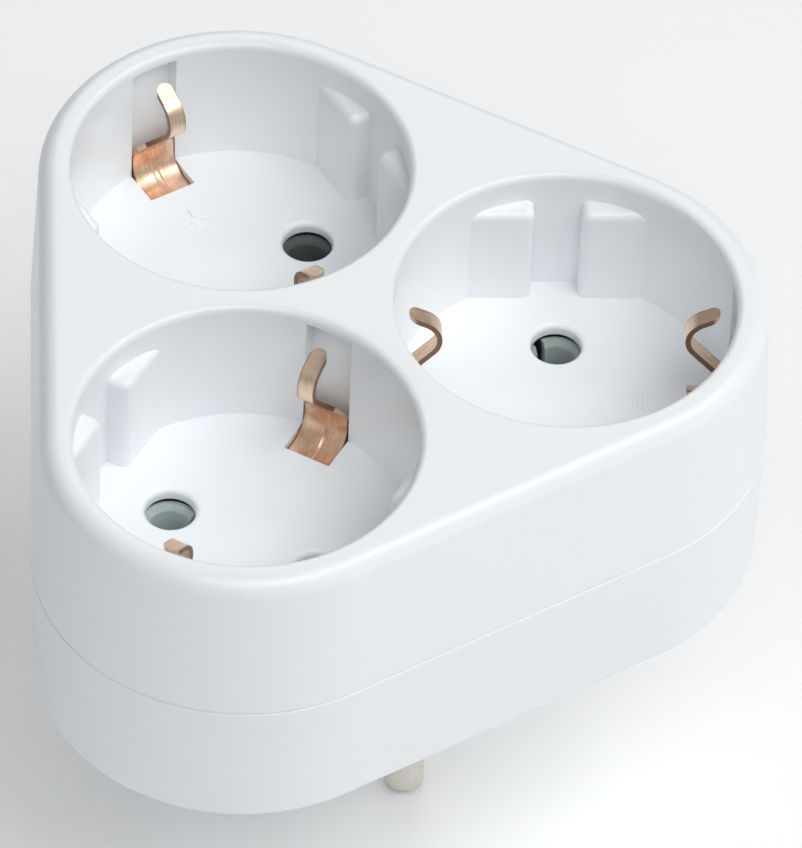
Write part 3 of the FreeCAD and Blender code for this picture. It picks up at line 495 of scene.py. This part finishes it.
# raised earth sign on each well floor beside the outer clip: a stem and three bars, each bar
# with its distance from the socket's centre and its length
earthSign = {
    "floor": 0.0413,
    "bars": ((0.00970, 0.0029), (0.00908, 0.0020), (0.00847, 0.0013)),
    "stem": (0.00970, 0.0112),
    "line": 0.00027,
    "rise": 0.00018,
    "sink": 0.00005,
    "edge": 0.00006,
    "edgeSteps": 2,
}


def signBlock(middle, length, width):
    low, high = earthSign["floor"] - earthSign["sink"], earthSign["floor"] + earthSign["rise"]
    bpy.ops.mesh.primitive_cube_add(size=1, location=(middle, 0, (low + high) / 2))
    block = bpy.context.object
    block.scale = (width, length, high - low)
    bpy.ops.object.transform_apply(location=True, rotation=True, scale=True)
    return block


def raisedSign(socket):
    line = earthSign["line"]
    stemFrom, stemTo = earthSign["stem"]
    blocks = [signBlock(distance, length, line) for distance, length in earthSign["bars"]]
    blocks.append(signBlock((stemFrom + stemTo) / 2, line, stemTo - stemFrom))
    sign = joinPieces(blocks, f"earth_sign_{socket}")
    seatAtSocket(sign, socket)
    bevel = sign.modifiers.new("soft edges", "BEVEL")
    bevel.width = earthSign["edge"]
    bevel.segments = earthSign["edgeSteps"]
    bpy.ops.object.modifier_apply(modifier=bevel.name)
    bpy.ops.object.shade_smooth_by_angle(angle=smoothing["creaseAngle"])
    sign.data.materials.append(finishes["white_plastic"])
    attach(sign, "root")


for socket in (1, 2, 3):
    raisedSign(socket)
print("earth signs raised")


# floor and sky
studio = {
    "floorGap": 0.0002,
    "floorSize": 4.0,
    "floorColour": (0.93, 0.935, 0.94),
    "floorCloud": (0.91, 0.915, 0.92),
    "cloudSize": 0.4,
    "cloudSpread": (0.3, 0.7),
    "cloudTint": 0.3,
    "floorGloss": 0.9,
    "floorGlow": 0.08,
    "skyColour": (0.93, 0.96, 1.0),
    "skyStrength": 0.12,
}


def paleFloor():
    bpy.ops.object.select_all(action="DESELECT")
    level = cadBox[0][2] - studio["floorGap"]
    bpy.ops.mesh.primitive_plane_add(size=studio["floorSize"], location=(0, 0, level))
    floor = bpy.context.object
    floor.name = "floor"
    shader = Shader("floor paper")
    cloud = shader.noise(shader.place(), studio["cloudSize"], 2)
    cloud = shader.spread(cloud, *studio["cloudSpread"]) * studio["cloudTint"]
    tone = shader.mixColours(cloud, studio["floorColour"], studio["floorCloud"])
    paper = shader.finish(
        {
            "Base Color": tone,
            "Roughness": studio["floorGloss"],
            "Emission Color": tone,
            "Emission Strength": studio["floorGlow"],
        }
    )
    floor.data.materials.append(paper)


def softSky():
    world = bpy.data.worlds.new("studio")
    world.use_nodes = True
    background = world.node_tree.nodes["Background"]
    background.inputs["Color"].default_value = (*studio["skyColour"], 1)
    background.inputs["Strength"].default_value = studio["skyStrength"]
    bpy.context.scene.world = world


# square lamp panels: place and power, turned to the aim
lampSize = 0.8
lampAim = (0, 0, 0.03)
lamps = {
    "right": {"place": (1.15, 0.0, 0.75), "power": 2.05},
    "right high": {"place": (0.85, 0.0, 1.15), "power": 4.45},
    "right front": {"place": (0.85, -0.75, 0.85), "power": 0.5},
    "right front high": {"place": (0.50, -0.50, 1.20), "power": 5.45},
    "front high": {"place": (0.0, -0.75, 1.20), "power": 5.1},
    "left front": {"place": (-0.85, -0.75, 0.80), "power": 0.3},
    "left": {"place": (-1.15, 0.0, 0.75), "power": 0.65},
    "back": {"place": (0.0, 1.15, 0.80), "power": 3.3},
}


def hangLamps():
    for name, lamp in lamps.items():
        light = bpy.data.lights.new(name, "AREA")
        light.shape = "SQUARE"
        light.size = lampSize
        light.energy = lamp["power"]
        holder = bpy.data.objects.new(name, light)
        place = Vector(lamp["place"])
        turned = (place - Vector(lampAim)).to_track_quat("Z", "Y").to_matrix().to_4x4()
        holder.matrix_world = Matrix.Translation(place) @ turned
        bpy.context.scene.collection.objects.link(holder)


paleFloor()
softSky()
hangLamps()

# the camera's turn is from straight in front, about Z, and its shifts are in its own plane
viewpoint = {
    "turn": math.radians(-3.46),
    "rise": math.radians(46.92),
    "roll": math.radians(2.59),
    "distance": 1.1313,
    "shiftRight": 0.00684,
    "shiftUp": 0.0118,
    "aim": (0.0, 0.0, 0.0205),
    "lens": 413.33,
    "sensor": 36.0,
    "near": 0.05,
    "far": 20,
}


def placeCamera(view):
    rise, turn, roll = view["rise"], view["turn"], view["roll"]
    level = Vector((math.cos(turn), math.sin(turn), 0))
    towards = Vector((math.sin(turn), -math.cos(turn), 0))
    back = towards * math.cos(rise) + Vector((0, 0, math.sin(rise)))
    upright = back.cross(level)
    right = level * math.cos(roll) + upright * math.sin(roll)
    up = back.cross(right)
    place = Vector(view["aim"]) + back * view["distance"]
    place += right * view["shiftRight"] + up * view["shiftUp"]
    lens = bpy.data.cameras.new("camera")
    lens.lens = view["lens"]
    lens.sensor_fit = "VERTICAL"
    lens.sensor_height = view["sensor"]
    lens.clip_start = view["near"]
    lens.clip_end = view["far"]
    camera = bpy.data.objects.new("camera", lens)
    turned = Matrix((right, up, back)).transposed().to_4x4()
    camera.matrix_world = Matrix.Translation(place) @ turned
    bpy.context.scene.collection.objects.link(camera)
    bpy.context.scene.camera = camera


placeCamera(viewpoint)
bpy.context.scene.view_settings.view_transform = "Standard"
print("camera and lamps placed")
